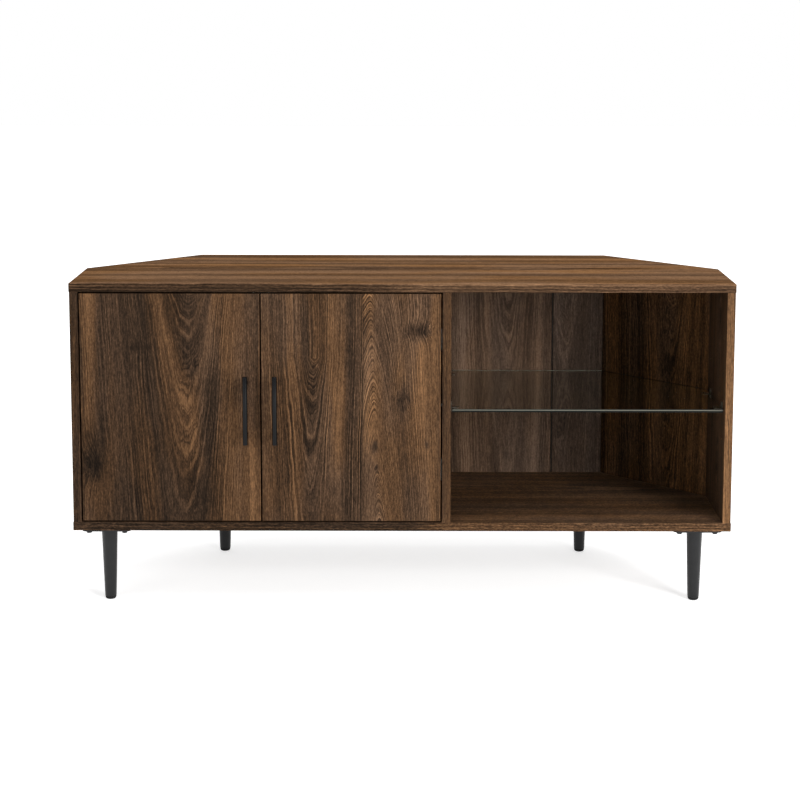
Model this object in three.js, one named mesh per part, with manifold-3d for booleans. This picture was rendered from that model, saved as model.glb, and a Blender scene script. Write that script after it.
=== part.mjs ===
// Corner tv cabinet: a low case with clipped rear corners on four tapered legs, two inset doors on the left
// and an open bay with a glass shelf on the right. Millimetres, +Z up, the front faces -Y.
import * as THREE from 'three';
import { mergeVertices } from 'three/addons/utils/BufferGeometryUtils.js';
import Module from 'manifold-3d';

// Case
const caseWidth = 1219;
const caseDepth = 400;
const sideDepth = 200;
const clippedWidth = 200;
const totalHeight = 608;
const undersideHeight = 144;
const deckThickness = 16;
const deckOverhang = 0.75;
const sideThickness = 15;
const dividerThickness = 16;
const backThickness = 15;
const backRecess = 5;
const panelEdge = 0.6;
const mitreGap = 0.3;
const baySpan = 504.5;

// Back panels
const backStripWidth = 100.9;
const seamGap = 0.8;
const lightSlit = 1.1;

// Doors
const doorThickness = 15;
const doorGap = 3;

// Handles
const handleLength = 127;
const handleRadius = 4.5;
const handleEndChamfer = 0.8;
const handlePostSpacing = 96;
const handlePostRadius = 4;
const handleReach = 29.5;
const handleInset = 25.5;
const screwRadius = 2;
const screwHoleRadius = 2.5;
const screwHeadRadius = 4.2;
const screwHeadHeight = 2.4;
const screwGrip = 8;
const screwPlay = 0.15;
const screwTipRoom = 2;
const slotWidth = 1.1;
const slotDepth = 0.9;

// Hinges, measured from the face that carries the hinge and from the front of the case
const hingeEndDistance = 90;
const hingePinOffset = 10.5;
const hingePinDepth = 5.8;
const hingePinRadius = 1.2;
const hingePinPlay = 0.08;
const hingeEyeRadius = 2.2;
const cupRim = 3;
const cupBoreRadius = 17.5;
const cupBoreDepth = 12.5;
const cupPlay = 0.1;
const cupWall = 0.8;
const cupFloor = 0.6;
const cupFlangeRadius = 19;
const cupFlangeThickness = 1.2;
const cupScrewSpacing = 45;
const cupScrewOffset = 9.5;
const cupScrewRadius = 2;
const cupEarRadius = 6.5;
const cupLugThickness = 2.4;
const cupLugLength = 4.6;
const armStrip = 2.4;
const armNeckWidth = 12;
const armNeckOffset = 25;
const armNeckBend = 4;
const armBodyOffset = 11.5;
const armBodyStart = 32;
const armBodyEnd = 74;
const armCrankStart = 20;
const armFlangeThickness = 1.5;
const armFlangeDepth = 7;
const armPlay = 0.3;
const armScrewRadius = 3;
const armScrewHeight = 1.2;
const plateRailHeight = 10;
const plateRailWidth = 12;
const plateRailStart = 30;
const plateRailEnd = 76;
const plateWingDistance = 37;
const plateWingSpacing = 32;
const plateWingRadius = 6.5;
const plateWingThickness = 2.5;
const plateScrewRadius = 2;

// Shelf support holes
const holeRadius = 2.5;
const holeDepth = 7;
const holePitch = 64;
const holeRowRise = 0.5;
const holeFrontDistance = 33;
const holeSideRearInset = 40;
const holeDividerRearInset = 35;
const pinPlay = 0.1;
const pinTipRoom = 0.5;

// Shelves
const glassThickness = 6;
const glassFrontInset = 8;
const glassSideGap = 2.5;
const glassBackGap = 1.5;
const glassEdge = 0.5;
const glassBelowHole = 3;
const supportWidth = 12;
const supportFlange = 1.5;
const supportLedge = 16;
const supportLedgeThickness = 2;
const supportAboveHole = 6;
const woodShelfThickness = 15;
const woodShelfInset = 26;
const woodShelfGap = 1;
const pegRadius = 4;
const pegLength = 9;
const pegSeat = 1.5;

// Door stop
const stopWidth = 50;
const stopHeight = 12;
const stopDepth = 18;
const stopPadRadius = 4.5;
const stopPadThickness = 2;
const stopPadOffset = 13;
const stopGap = 0.3;

// Legs
const legEndInset = 59.5;
const legClipInset = 45.5;
const legFrontDistance = 45;
const legRearInset = 43;
const legTopRadius = 15;
const legBottomRadius = 10.8;
const weldWidth = 2.5;
const legPlateWidth = 90;
const legPlateDepth = 84;
const legPlateThickness = 3;
const legPlateCorner = 9;
const legBoltSpacing = 66;
const legBoltRowSpacing = 62;
const boltHeadRadius = 5.2;
const boltHeadHeight = 3.6;
const washerRadius = 7;
const washerThickness = 1.2;
const glideHeight = 6;
const glideRadius = 10.4;
const glideCorner = 4.4;
const glideStemRadius = 4;
const glideStemLength = 12;
const glideStemPlay = 0.2;

// Working values
const cutOverrun = 2;
const weldDistance = 0.0001;
const roundSides = 24;
const smallRoundSides = 12;
const bendSteps = 5;
const cornerSteps = 3;

// Heights, widths and depths worked out from the sizes above
const deckTop = undersideHeight + deckThickness;
const topUnderside = totalHeight - deckThickness;
const halfWidth = caseWidth / 2;
const innerHalf = halfWidth - sideThickness;
const dividerRight = innerHalf - baySpan;
const dividerLeft = dividerRight - dividerThickness;
const backInner = caseDepth - backRecess - backThickness;
const backOuter = caseDepth - backRecess;
const doorBottom = deckTop + doorGap;
const doorTop = topUnderside - doorGap;
const doorMiddle = (doorBottom + doorTop) / 2;
const holeRowHeight = doorMiddle + holeRowRise;
const holeSideRearDistance = sideDepth - holeSideRearInset;
const holeDividerRearDistance = backInner - holeDividerRearInset;
const doorOpening = dividerLeft + innerHalf;
const doorWidth = (doorOpening - 3 * doorGap) / 2;
const doorMeeting = -innerHalf + doorGap + doorWidth + doorGap / 2;
const hingeHeights = [doorBottom + hingeEndDistance, doorTop - hingeEndDistance];
const cupCentre = doorGap + cupRim + cupBoreRadius;
const frontToCentre = (caseDepth - handleReach) / 2;

// Materials
const walnut = new THREE.MeshStandardMaterial({ color: 0x5f4534, roughness: 0.55, metalness: 0 });
const darkWalnut = new THREE.MeshStandardMaterial({ color: 0x4d392c, roughness: 0.6, metalness: 0 });
const blackSteel = new THREE.MeshStandardMaterial({ color: 0x1c1c1d, roughness: 0.5, metalness: 0.4 });
const nickel = new THREE.MeshStandardMaterial({ color: 0xb4b3ae, roughness: 0.3, metalness: 1 });
const clearGlass = new THREE.MeshStandardMaterial({
  color: 0xcfe0d6, roughness: 0.05, metalness: 0, transparent: true, opacity: 0.4,
});
const blackPlastic = new THREE.MeshStandardMaterial({ color: 0x161616, roughness: 0.7, metalness: 0 });
const clearPlastic = new THREE.MeshStandardMaterial({ color: 0xd4d3cc, roughness: 0.4, metalness: 0 });

// Boolean helpers
const wasm = await Module();
wasm.setup();

function solidFrom(geometry) {
  const bare = geometry.clone();
  bare.deleteAttribute('normal');
  bare.deleteAttribute('uv');
  const merged = mergeVertices(bare, weldDistance);
  return new wasm.Manifold(new wasm.Mesh({
    numProp: 3,
    vertProperties: new Float32Array(merged.attributes.position.array),
    triVerts: new Uint32Array(merged.index.array),
  }));
}

function geometryFrom(solid) {
  const mesh = solid.getMesh();
  const geometry = new THREE.BufferGeometry();
  geometry.setAttribute('position', new THREE.BufferAttribute(mesh.vertProperties, 3));
  geometry.setIndex(new THREE.BufferAttribute(mesh.triVerts, 1));
  geometry.computeVertexNormals();
  return geometry;
}

function joined(geometries) {
  return geometries.map(solidFrom).reduce((whole, piece) => whole.add(piece));
}

function cutBy(solid, tools) {
  return tools.map(solidFrom).reduce((whole, tool) => whole.subtract(tool), solid);
}

// Shape helpers
function outlineShape(points) {
  return new THREE.Shape(points.map(([x, y]) => new THREE.Vector2(x, y)));
}

// A slab whose outline lies in plan, with its upper and lower edges eased
function planSlab(shape, bottom, height, edge) {
  const geometry = new THREE.ExtrudeGeometry(shape, {
    depth: height - 2 * edge,
    bevelEnabled: edge > 0,
    bevelThickness: edge,
    bevelSize: edge,
    bevelOffset: -edge,
    bevelSegments: 2,
    curveSegments: bendSteps,
  });
  geometry.translate(0, 0, bottom + edge);
  return geometry;
}

// A slab whose outline is seen from the front, from frontY backwards
function frontSlab(shape, frontY, thickness, edge) {
  const geometry = planSlab(shape, 0, thickness, edge);
  geometry.rotateX(Math.PI / 2);
  geometry.translate(0, frontY + thickness, 0);
  return geometry;
}

// A slab whose outline (y, z) is seen from the side, from startX to endX
function sideSlab(shape, startX, endX) {
  const geometry = planSlab(shape, 0, Math.abs(endX - startX), 0);
  geometry.rotateX(Math.PI / 2);
  geometry.rotateZ(Math.PI / 2);
  geometry.translate(Math.min(startX, endX), 0, 0);
  return geometry;
}

function block(minX, maxX, minY, maxY, minZ, maxZ) {
  const geometry = new THREE.BoxGeometry(maxX - minX, maxY - minY, maxZ - minZ);
  geometry.translate((minX + maxX) / 2, (minY + maxY) / 2, (minZ + maxZ) / 2);
  return geometry;
}

function rod(radius, start, end, sides) {
  const from = new THREE.Vector3(...start);
  const to = new THREE.Vector3(...end);
  const geometry = new THREE.CylinderGeometry(radius, radius, from.distanceTo(to), sides);
  const direction = to.clone().sub(from).normalize();
  geometry.applyQuaternion(new THREE.Quaternion().setFromUnitVectors(new THREE.Vector3(0, 1, 0), direction));
  const middle = from.add(to).multiplyScalar(0.5);
  geometry.translate(middle.x, middle.y, middle.z);
  return geometry;
}

// A solid of revolution round a vertical axis: the profile is [radius, height] pairs
function turned(profile, sides) {
  const geometry = new THREE.LatheGeometry(profile.map(([r, z]) => new THREE.Vector2(r, z)), sides);
  geometry.rotateX(Math.PI / 2);
  return geometry;
}

function stadium(centreX, centreY, halfLength, radius) {
  const shape = new THREE.Shape();
  shape.absarc(centreX, centreY + halfLength, radius, 0, Math.PI, false);
  shape.absarc(centreX, centreY - halfLength, radius, Math.PI, 2 * Math.PI, false);
  shape.closePath();
  return shape;
}

function roundedRectangle(width, depth, corner) {
  const shape = new THREE.Shape();
  const cornersX = [1, -1, -1, 1];
  const cornersY = [1, 1, -1, -1];
  cornersX.forEach((sideX, i) => {
    const centreX = sideX * (width / 2 - corner);
    const centreY = cornersY[i] * (depth / 2 - corner);
    shape.absarc(centreX, centreY, corner, i * Math.PI / 2, (i + 1) * Math.PI / 2, false);
  });
  shape.closePath();
  return shape;
}

const group = new THREE.Group();
group.position.y = -frontToCentre;

function addMesh(name, geometry, material) {
  const mesh = new THREE.Mesh(geometry, material);
  mesh.name = name;
  group.add(mesh);
  return mesh;
}

// Top and bottom decks: the case outline in plan, with a small overhang past the sides
function deckShape() {
  const half = halfWidth + deckOverhang;
  const rearHalf = half - clippedWidth;
  return outlineShape([[-half, 0], [half, 0], [half, sideDepth], [rearHalf, caseDepth],
    [-rearHalf, caseDepth], [-half, sideDepth]]);
}

function addDecks() {
  addMesh('top_panel', planSlab(deckShape(), topUnderside, deckThickness, panelEdge), walnut);
  addMesh('bottom_panel', planSlab(deckShape(), undersideHeight, deckThickness, panelEdge), walnut);
}

// Support holes: one row near the front and one near the rear, on the face at faceX looking along outward
function holeTools(faceX, outward, rearDistance) {
  const tools = [];
  for (const distance of [holeFrontDistance, rearDistance]) {
    for (const step of [-1, 0, 1]) {
      const height = holeRowHeight + step * holePitch;
      const inner = [faceX - outward * holeDepth, distance, height];
      const outer = [faceX + outward * cutOverrun, distance, height];
      tools.push(rod(holeRadius, inner, outer, smallRoundSides));
    }
  }
  return tools;
}

// The plan of a clipped corner: where the mitres of the side, angled and back panels lie
const cornerHalfTurn = Math.atan2(clippedWidth, caseDepth - sideDepth) / 2;
const sideMitreRun = sideThickness * Math.tan(cornerHalfTurn);
const clipSlope = (caseDepth - sideDepth) / clippedWidth;
const clipOuterRear = halfWidth - clippedWidth + (caseDepth - backOuter) / clipSlope;
const rearHalfTurn = (Math.PI / 2 - 2 * cornerHalfTurn) / 2;
const rearMitreRun = backThickness * Math.tan(rearHalfTurn);
const clipInnerRear = clipOuterRear - rearMitreRun;
const sideInnerRear = sideDepth - sideMitreRun;

function addSide(name, side) {
  const shape = outlineShape([[side * (innerHalf + panelEdge), 0], [side * (halfWidth - panelEdge), 0],
    [side * halfWidth, panelEdge], [side * halfWidth, sideDepth], [side * innerHalf, sideInnerRear],
    [side * innerHalf, panelEdge]]);
  const panel = solidFrom(planSlab(shape, deckTop, topUnderside - deckTop, 0));
  const tools = holeTools(side * innerHalf, -side, holeSideRearDistance);
  addMesh(name, geometryFrom(cutBy(panel, tools)), walnut);
}

function addDivider() {
  const shape = outlineShape([[dividerLeft + panelEdge, 0], [dividerRight - panelEdge, 0],
    [dividerRight, panelEdge], [dividerRight, backInner], [dividerLeft, backInner],
    [dividerLeft, panelEdge]]);
  const panel = solidFrom(planSlab(shape, deckTop, topUnderside - deckTop, 0));
  const tools = [
    ...holeTools(dividerLeft, -1, holeDividerRearDistance),
    ...holeTools(dividerRight, 1, holeDividerRearDistance),
  ];
  addMesh('divider_panel', geometryFrom(cutBy(panel, tools)), walnut);
}

function addBackPanels() {
  const height = topUnderside - deckTop;
  const stripEnd = clipInnerRear - lightSlit;
  const stripStart = stripEnd - backStripWidth;
  const half = stripStart - seamGap;
  addMesh('centre_back_panel', block(-half, half, backInner, backOuter, deckTop, topUnderside), darkWalnut);
  for (const [label, side] of [['left', -1], ['right', 1]]) {
    const strip = outlineShape([[side * stripStart, backInner], [side * stripEnd, backInner],
      [side * (clipOuterRear - lightSlit), backOuter], [side * stripStart, backOuter]]);
    addMesh(`${label}_back_strip`, planSlab(strip, deckTop, height, 0), darkWalnut);
    const along = mitreGap * Math.SQRT1_2;
    const angledShape = outlineShape([[side * (halfWidth - along), sideDepth + along],
      [side * (innerHalf - along), sideInnerRear + along], [side * clipInnerRear, backInner],
      [side * clipOuterRear, backOuter]]);
    addMesh(`${label}_angled_panel`, planSlab(angledShape, deckTop, height, 0), darkWalnut);
  }
}

// Places in plan on the face that carries a hinge: offset is measured from that face into the compartment
function hingeX(face, side, offset) {
  return face + side * offset;
}

function addDoor(name, minX, face, side) {
  const maxX = minX + doorWidth;
  const shape = outlineShape([[minX, doorBottom], [maxX, doorBottom], [maxX, doorTop], [minX, doorTop]]);
  const panel = solidFrom(frontSlab(shape, 0, doorThickness, panelEdge));
  const bores = hingeHeights.map((height) => {
    const x = hingeX(face, side, cupCentre);
    const start = [x, doorThickness - cupBoreDepth, height];
    return rod(cupBoreRadius, start, [x, doorThickness + cutOverrun, height], roundSides);
  });
  const screwX = handleX(side);
  const screwHoles = handlePostHeights().map((height) => rod(screwHoleRadius, [screwX, -cutOverrun, height],
    [screwX, doorThickness + cutOverrun, height], smallRoundSides));
  addMesh(name, geometryFrom(cutBy(panel, [...bores, ...screwHoles])), walnut);
}

// Handles
function handleX(side) {
  return doorMeeting - side * (handleInset + doorGap / 2);
}

function handlePostHeights() {
  return [doorMiddle - handlePostSpacing / 2, doorMiddle + handlePostSpacing / 2];
}

function addHandle(label, side) {
  const x = handleX(side);
  const axisY = handleRadius - handleReach;
  const half = handleLength / 2;
  const capRadius = handleRadius - handleEndChamfer;
  const bar = turned([[0, -half], [capRadius, -half], [handleRadius, handleEndChamfer - half],
    [handleRadius, half - handleEndChamfer], [capRadius, half], [0, half]], roundSides);
  bar.translate(x, axisY, doorMiddle);
  const posts = handlePostHeights().map((height) => rod(handlePostRadius, [x, axisY, height], [x, 0, height],
    roundSides));
  const threads = handlePostHeights().map((height) => rod(screwRadius + screwPlay,
    [x, -screwGrip - screwTipRoom, height], [x, cutOverrun, height], smallRoundSides));
  addMesh(`${label}_handle`, geometryFrom(cutBy(joined([bar, ...posts]), threads)), blackSteel);

  handlePostHeights().forEach((height, i) => {
    const shank = rod(screwRadius, [x, -screwGrip, height], [x, doorThickness, height], smallRoundSides);
    const headTop = doorThickness + screwHeadHeight;
    const head = rod(screwHeadRadius, [x, doorThickness, height], [x, headTop, height], smallRoundSides);
    const slots = [
      block(x - screwHeadRadius / 2, x + screwHeadRadius / 2, headTop - slotDepth, headTop + cutOverrun,
        height - slotWidth / 2, height + slotWidth / 2),
      block(x - slotWidth / 2, x + slotWidth / 2, headTop - slotDepth, headTop + cutOverrun,
        height - screwHeadRadius / 2, height + screwHeadRadius / 2),
    ];
    const level = ['lower', 'upper'][i];
    addMesh(`${label}_handle_screw_${level}`, geometryFrom(cutBy(joined([shank, head]), slots)), nickel);
  });
}

// The centreline of the hinge arm in plan: from the pin out of the cup, round the neck and along the rail
function armCentreline() {
  const bend = armNeckBend;
  const path = new THREE.CurvePath();
  const corner = [armNeckOffset, hingePinDepth];
  const at = (x, y) => new THREE.Vector2(x, y);
  path.add(new THREE.LineCurve(at(hingePinOffset, hingePinDepth), at(corner[0] - bend, corner[1])));
  path.add(new THREE.QuadraticBezierCurve(at(corner[0] - bend, corner[1]), at(...corner),
    at(corner[0], corner[1] + bend)));
  path.add(new THREE.LineCurve(at(corner[0], corner[1] + bend), at(corner[0], armCrankStart)));
  const crankEnd = at(armBodyOffset, armBodyStart + bend);
  const control = (armBodyStart + bend - armCrankStart) / 2;
  path.add(new THREE.CubicBezierCurve(at(corner[0], armCrankStart), at(corner[0], armCrankStart + control),
    at(armBodyOffset, armCrankStart + control), crankEnd));
  path.add(new THREE.LineCurve(crankEnd, at(armBodyOffset, armBodyEnd)));
  const points = [];
  for (const curve of path.curves) {
    const steps = curve.isLineCurve ? 1 : 2 * bendSteps;
    for (let i = 0; i < steps; i += 1) {
      points.push({ place: curve.getPoint(i / steps), heading: curve.getTangent(i / steps) });
    }
  }
  const last = path.curves[path.curves.length - 1];
  points.push({ place: last.getPoint(1), heading: last.getTangent(1) });
  return points;
}

// A strip of even thickness along the centreline, mirrored for the right door
function stripShape(centreline, thickness, face, side) {
  const half = thickness / 2;
  const edgePoint = ({ place, heading }, sign) => [
    hingeX(face, side, place.x - sign * heading.y * half), place.y + sign * heading.x * half];
  const left = centreline.map((point) => edgePoint(point, 1));
  const right = centreline.map((point) => edgePoint(point, -1)).reverse();
  return outlineShape([...left, ...right]);
}

function addHingeArm(name, face, side, height) {
  const pinX = hingeX(face, side, hingePinOffset);
  const neckHalf = armNeckWidth / 2;
  const bodyHalf = plateRailWidth / 2 + armPlay + armFlangeThickness;
  const neckShape = stripShape(armCentreline(), armStrip, face, side);
  const strip = planSlab(neckShape, height - neckHalf, armNeckWidth, 0);
  const eye = rod(hingeEyeRadius, [pinX, hingePinDepth, height - neckHalf],
    [pinX, hingePinDepth, height + neckHalf], smallRoundSides);
  const crownTop = hingeX(face, side, armBodyOffset + armStrip / 2);
  const crownLow = hingeX(face, side, armBodyOffset - armStrip / 2);
  const flangeLow = hingeX(face, side, armBodyOffset - armFlangeDepth);
  const span = (a, b) => [Math.min(a, b), Math.max(a, b)];
  const bodyStart = armBodyStart + armNeckBend;
  const crown = block(...span(crownLow, crownTop), bodyStart, armBodyEnd, height - bodyHalf,
    height + bodyHalf);
  const flanges = [1, -1].map((sign) => {
    const inner = height + sign * (bodyHalf - armFlangeThickness);
    const outer = height + sign * bodyHalf;
    return block(...span(flangeLow, crownTop), bodyStart, armBodyEnd, ...span(inner, outer));
  });
  const screwPlaces = [bodyStart + 2 * armScrewRadius, armBodyEnd - 2 * armScrewRadius];
  const screws = screwPlaces.map((y) => rod(armScrewRadius, [crownLow, y, height],
    [crownTop + side * armScrewHeight, y, height], smallRoundSides));
  const slots = screwPlaces.map((y) => block(...span(crownTop, crownTop + side * cutOverrun),
    y - armScrewRadius / 2, y + armScrewRadius / 2, height - slotWidth / 2, height + slotWidth / 2));
  const bore = rod(hingePinRadius + hingePinPlay, [pinX, hingePinDepth, height - neckHalf - cutOverrun],
    [pinX, hingePinDepth, height + neckHalf + cutOverrun], smallRoundSides);
  const arm = joined([strip, eye, crown, ...flanges, ...screws]);
  addMesh(name, geometryFrom(cutBy(arm, [bore, ...slots])), nickel);
}

function addHingeCup(name, face, side, height) {
  const x = hingeX(face, side, cupCentre);
  const pinX = hingeX(face, side, hingePinOffset);
  const outer = cupBoreRadius - cupPlay;
  const boreBottom = doorThickness - cupBoreDepth;
  const cupBottom = boreBottom + cupPlay;
  const flangeTop = doorThickness + cupFlangeThickness;
  const barrel = rod(outer, [x, cupBottom, height], [x, flangeTop, height], roundSides);
  const ring = rod(cupFlangeRadius, [x, doorThickness, height], [x, flangeTop, height], roundSides);
  const earX = hingeX(face, side, cupCentre + cupScrewOffset);
  const ears = frontSlab(stadium(earX, height, cupScrewSpacing / 2, cupEarRadius), doorThickness,
    cupFlangeThickness, 0);
  const hollow = rod(outer - cupWall, [x, cupBottom + cupFloor, height], [x, flangeTop + cutOverrun, height],
    roundSides);
  const screwHoles = [1, -1].map((sign) => {
    const z = height + sign * cupScrewSpacing / 2;
    return rod(cupScrewRadius, [earX, doorThickness - cutOverrun, z], [earX, flangeTop + cutOverrun, z],
      smallRoundSides);
  });
  const shell = cutBy(joined([barrel, ring, ears]), [hollow, ...screwHoles]);
  const lugHalf = cupLugLength / 2;
  const lugInner = armNeckWidth / 2 + armPlay;
  const lugs = [1, -1].map((sign) => {
    const low = height + sign * lugInner;
    const high = height + sign * (lugInner + cupLugThickness);
    return block(pinX - lugHalf, pinX + lugHalf, cupBottom, hingePinDepth + lugHalf,
      Math.min(low, high), Math.max(low, high));
  });
  const pinReach = lugInner + cupLugThickness;
  const pinBore = rod(hingePinRadius + hingePinPlay, [pinX, hingePinDepth, height - pinReach],
    [pinX, hingePinDepth, height + pinReach], smallRoundSides);
  const whole = lugs.reduce((sum, lug) => sum.add(solidFrom(lug).intersect(solidFrom(barrel))), shell);
  addMesh(name, geometryFrom(cutBy(whole, [pinBore])), nickel);
  const pinHalf = pinReach - hingePinPlay;
  addMesh(name.replace('cup', 'pin'), rod(hingePinRadius, [pinX, hingePinDepth, height - pinHalf],
    [pinX, hingePinDepth, height + pinHalf], smallRoundSides), nickel);
}

function addHingePlate(name, face, side, height) {
  const railTop = hingeX(face, side, plateRailHeight);
  const wingTop = hingeX(face, side, plateWingThickness);
  const rail = block(Math.min(face, railTop), Math.max(face, railTop), plateRailStart, plateRailEnd,
    height - plateRailWidth / 2, height + plateRailWidth / 2);
  const wingShape = stadium(plateWingDistance, height, plateWingSpacing / 2, plateWingRadius);
  const wing = sideSlab(wingShape, face, wingTop);
  const screwHoles = [1, -1].map((sign) => {
    const z = height + sign * plateWingSpacing / 2;
    return rod(plateScrewRadius, [face - side * cutOverrun, plateWingDistance, z],
      [wingTop + side * cutOverrun, plateWingDistance, z], smallRoundSides);
  });
  addMesh(name, geometryFrom(cutBy(joined([rail, wing]), screwHoles)), nickel);
}

function addDoorsAndHinges() {
  const doors = [
    { label: 'left', minX: -innerHalf + doorGap, face: -innerHalf, side: 1 },
    { label: 'right', minX: doorMeeting + doorGap / 2, face: dividerLeft, side: -1 },
  ];
  for (const { label, minX, face, side } of doors) {
    addDoor(`${label}_door`, minX, face, side);
    addHandle(label, side);
    hingeHeights.forEach((height, i) => {
      const level = ['lower', 'upper'][i];
      addHingePlate(`${label}_${level}_hinge_plate`, face, side, height);
      addHingeArm(`${label}_${level}_hinge_arm`, face, side, height);
      addHingeCup(`${label}_${level}_hinge_cup`, face, side, height);
    });
  }
}

// Glass shelf on angle supports
function shelfShape(minX, maxX, front, rear, clipSide, clearance) {
  const slopeLength = Math.hypot(1, clipSlope);
  const reach = innerHalf + (sideInnerRear - clearance * slopeLength) / clipSlope;
  const outer = clipSide > 0 ? maxX : -minX;
  const rearEnd = reach - rear / clipSlope;
  const sideEnd = (reach - outer) * clipSlope;
  const points = [[-outer, front], [-outer, sideEnd], [-rearEnd, rear]];
  const inner = clipSide > 0 ? minX : -maxX;
  const outline = [...points, [-inner, rear], [-inner, front]];
  return outlineShape(outline.map(([x, y]) => [-clipSide * x, y]));
}

function addGlassShelf() {
  const bottom = holeRowHeight - glassBelowHole - glassThickness;
  const shape = shelfShape(dividerRight + glassSideGap, innerHalf - glassSideGap, glassFrontInset,
    backInner - glassBackGap, 1, glassBackGap);
  addMesh('glass_shelf', planSlab(shape, bottom, glassThickness, glassEdge), clearGlass);

  const places = [
    { face: dividerRight, side: 1, y: holeFrontDistance },
    { face: dividerRight, side: 1, y: holeDividerRearDistance },
    { face: innerHalf, side: -1, y: holeFrontDistance },
    { face: innerHalf, side: -1, y: holeSideRearDistance },
  ];
  places.forEach(({ face, side, y }, i) => {
    const half = supportWidth / 2;
    const flangeX = face + side * supportFlange;
    const ledgeX = face + side * supportLedge;
    const flange = block(Math.min(face, flangeX), Math.max(face, flangeX), y - half, y + half,
      bottom - supportLedgeThickness, holeRowHeight + supportAboveHole);
    const ledge = block(Math.min(face, ledgeX), Math.max(face, ledgeX), y - half, y + half,
      bottom - supportLedgeThickness, bottom);
    const shank = rod(holeRadius - pinPlay, [face - side * (holeDepth - pinTipRoom), y, holeRowHeight],
      [flangeX, y, holeRowHeight], smallRoundSides);
    addMesh(`glass_support_${i + 1}`, geometryFrom(joined([flange, ledge, shank])), clearPlastic);
  });
}

// Shelf behind the doors on flat-topped pegs
function addWoodShelf() {
  const bottom = holeRowHeight + pegSeat;
  const shape = shelfShape(-innerHalf + woodShelfGap, dividerLeft - woodShelfGap, woodShelfInset,
    backInner - woodShelfGap, -1, woodShelfGap);
  addMesh('inner_shelf', planSlab(shape, bottom, woodShelfThickness, panelEdge), walnut);

  const pegShape = (y) => {
    const peg = new THREE.Shape();
    peg.absarc(y, holeRowHeight, pegRadius, Math.PI, 2 * Math.PI, false);
    peg.lineTo(y + pegRadius, bottom);
    peg.lineTo(y - pegRadius, bottom);
    peg.closePath();
    return peg;
  };
  const places = [
    { face: -innerHalf, side: 1, y: holeFrontDistance },
    { face: -innerHalf, side: 1, y: holeSideRearDistance },
    { face: dividerLeft, side: -1, y: holeFrontDistance },
    { face: dividerLeft, side: -1, y: holeDividerRearDistance },
  ];
  places.forEach(({ face, side, y }, i) => {
    const seat = sideSlab(pegShape(y), face, face + side * pegLength);
    const shank = rod(holeRadius - pinPlay, [face - side * (holeDepth - pinTipRoom), y, holeRowHeight],
      [face + side * woodShelfGap / 2, y, holeRowHeight], smallRoundSides);
    addMesh(`inner_shelf_peg_${i + 1}`, geometryFrom(joined([seat, shank])), nickel);
  });
}

// Door stop under the top, behind the meeting edges of the doors
function addDoorStop() {
  const padFront = doorThickness + stopGap;
  const stopFront = padFront + stopPadThickness;
  addMesh('door_stop', block(doorMeeting - stopWidth / 2, doorMeeting + stopWidth / 2, stopFront,
    stopFront + stopDepth, topUnderside - stopHeight, topUnderside), blackPlastic);
  for (const [label, side] of [['left', -1], ['right', 1]]) {
    const x = doorMeeting + side * stopPadOffset;
    const z = topUnderside - stopHeight / 2;
    addMesh(`${label}_stop_pad`, rod(stopPadRadius, [x, padFront, z], [x, stopFront, z], smallRoundSides),
      clearPlastic);
  }
}

// A quarter turn of a profile from straight down to straight out
function roundedFoot(radius, corner) {
  return Array.from({ length: cornerSteps + 1 }, (_, i) => {
    const turn = i / cornerSteps * Math.PI / 2;
    return [radius - corner * (1 - Math.sin(turn)), corner * (1 - Math.cos(turn))];
  });
}

// Legs: a tapered tube welded to a plate that is bolted under the bottom panel
function legProfile() {
  const top = undersideHeight - legPlateThickness;
  const bore = glideStemRadius + glideStemPlay;
  const boreTop = glideHeight + glideStemLength + glideStemPlay;
  return [[0, boreTop], [bore, boreTop], [bore, glideHeight], [legBottomRadius, glideHeight],
    [legTopRadius, top - weldWidth], [legTopRadius + weldWidth, top],
    [legTopRadius, top + legPlateThickness / 2], [0, top + legPlateThickness / 2]];
}

function addLeg(label, x, y) {
  const top = undersideHeight - legPlateThickness;
  const tube = turned(legProfile(), roundSides);
  const plate = planSlab(roundedRectangle(legPlateWidth, legPlateDepth, legPlateCorner), top,
    legPlateThickness, 0);
  const bolts = [];
  for (const signX of [1, -1]) {
    for (const signY of [1, -1]) {
      const boltX = signX * legBoltSpacing / 2;
      const boltY = signY * legBoltRowSpacing / 2;
      const buried = top + legPlateThickness / 2;
      bolts.push(rod(washerRadius, [boltX, boltY, top - washerThickness], [boltX, boltY, buried],
        smallRoundSides));
      bolts.push(rod(boltHeadRadius, [boltX, boltY, top - washerThickness - boltHeadHeight],
        [boltX, boltY, buried], 6));
    }
  }
  const leg = addMesh(`${label}_leg`, geometryFrom(joined([tube, plate, ...bolts])), blackSteel);
  leg.position.set(x, y, 0);

  const stemTop = glideHeight + glideStemLength;
  const glideProfile = [[0, 0], ...roundedFoot(glideRadius, glideCorner), [glideRadius, glideHeight],
    [glideStemRadius, glideHeight], [glideStemRadius, stemTop], [0, stemTop]];
  const glide = addMesh(`${label}_glide`, turned(glideProfile, roundSides), blackPlastic);
  glide.position.set(x, y, 0);
}

function addLegs() {
  const frontX = halfWidth - legEndInset;
  const rearX = halfWidth - clippedWidth - legClipInset;
  for (const [label, side] of [['left', -1], ['right', 1]]) {
    addLeg(`front_${label}`, side * frontX, legFrontDistance);
    addLeg(`rear_${label}`, side * rearX, caseDepth - legRearInset);
  }
}

addDecks();
addSide('left_side_panel', -1);
addSide('right_side_panel', 1);
addDivider();
addBackPanels();
addDoorsAndHinges();
addGlassShelf();
addWoodShelf();
addDoorStop();
addLegs();

export default group;
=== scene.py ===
import math
import bmesh
import bpy
from mathutils import Matrix, Vector


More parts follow.
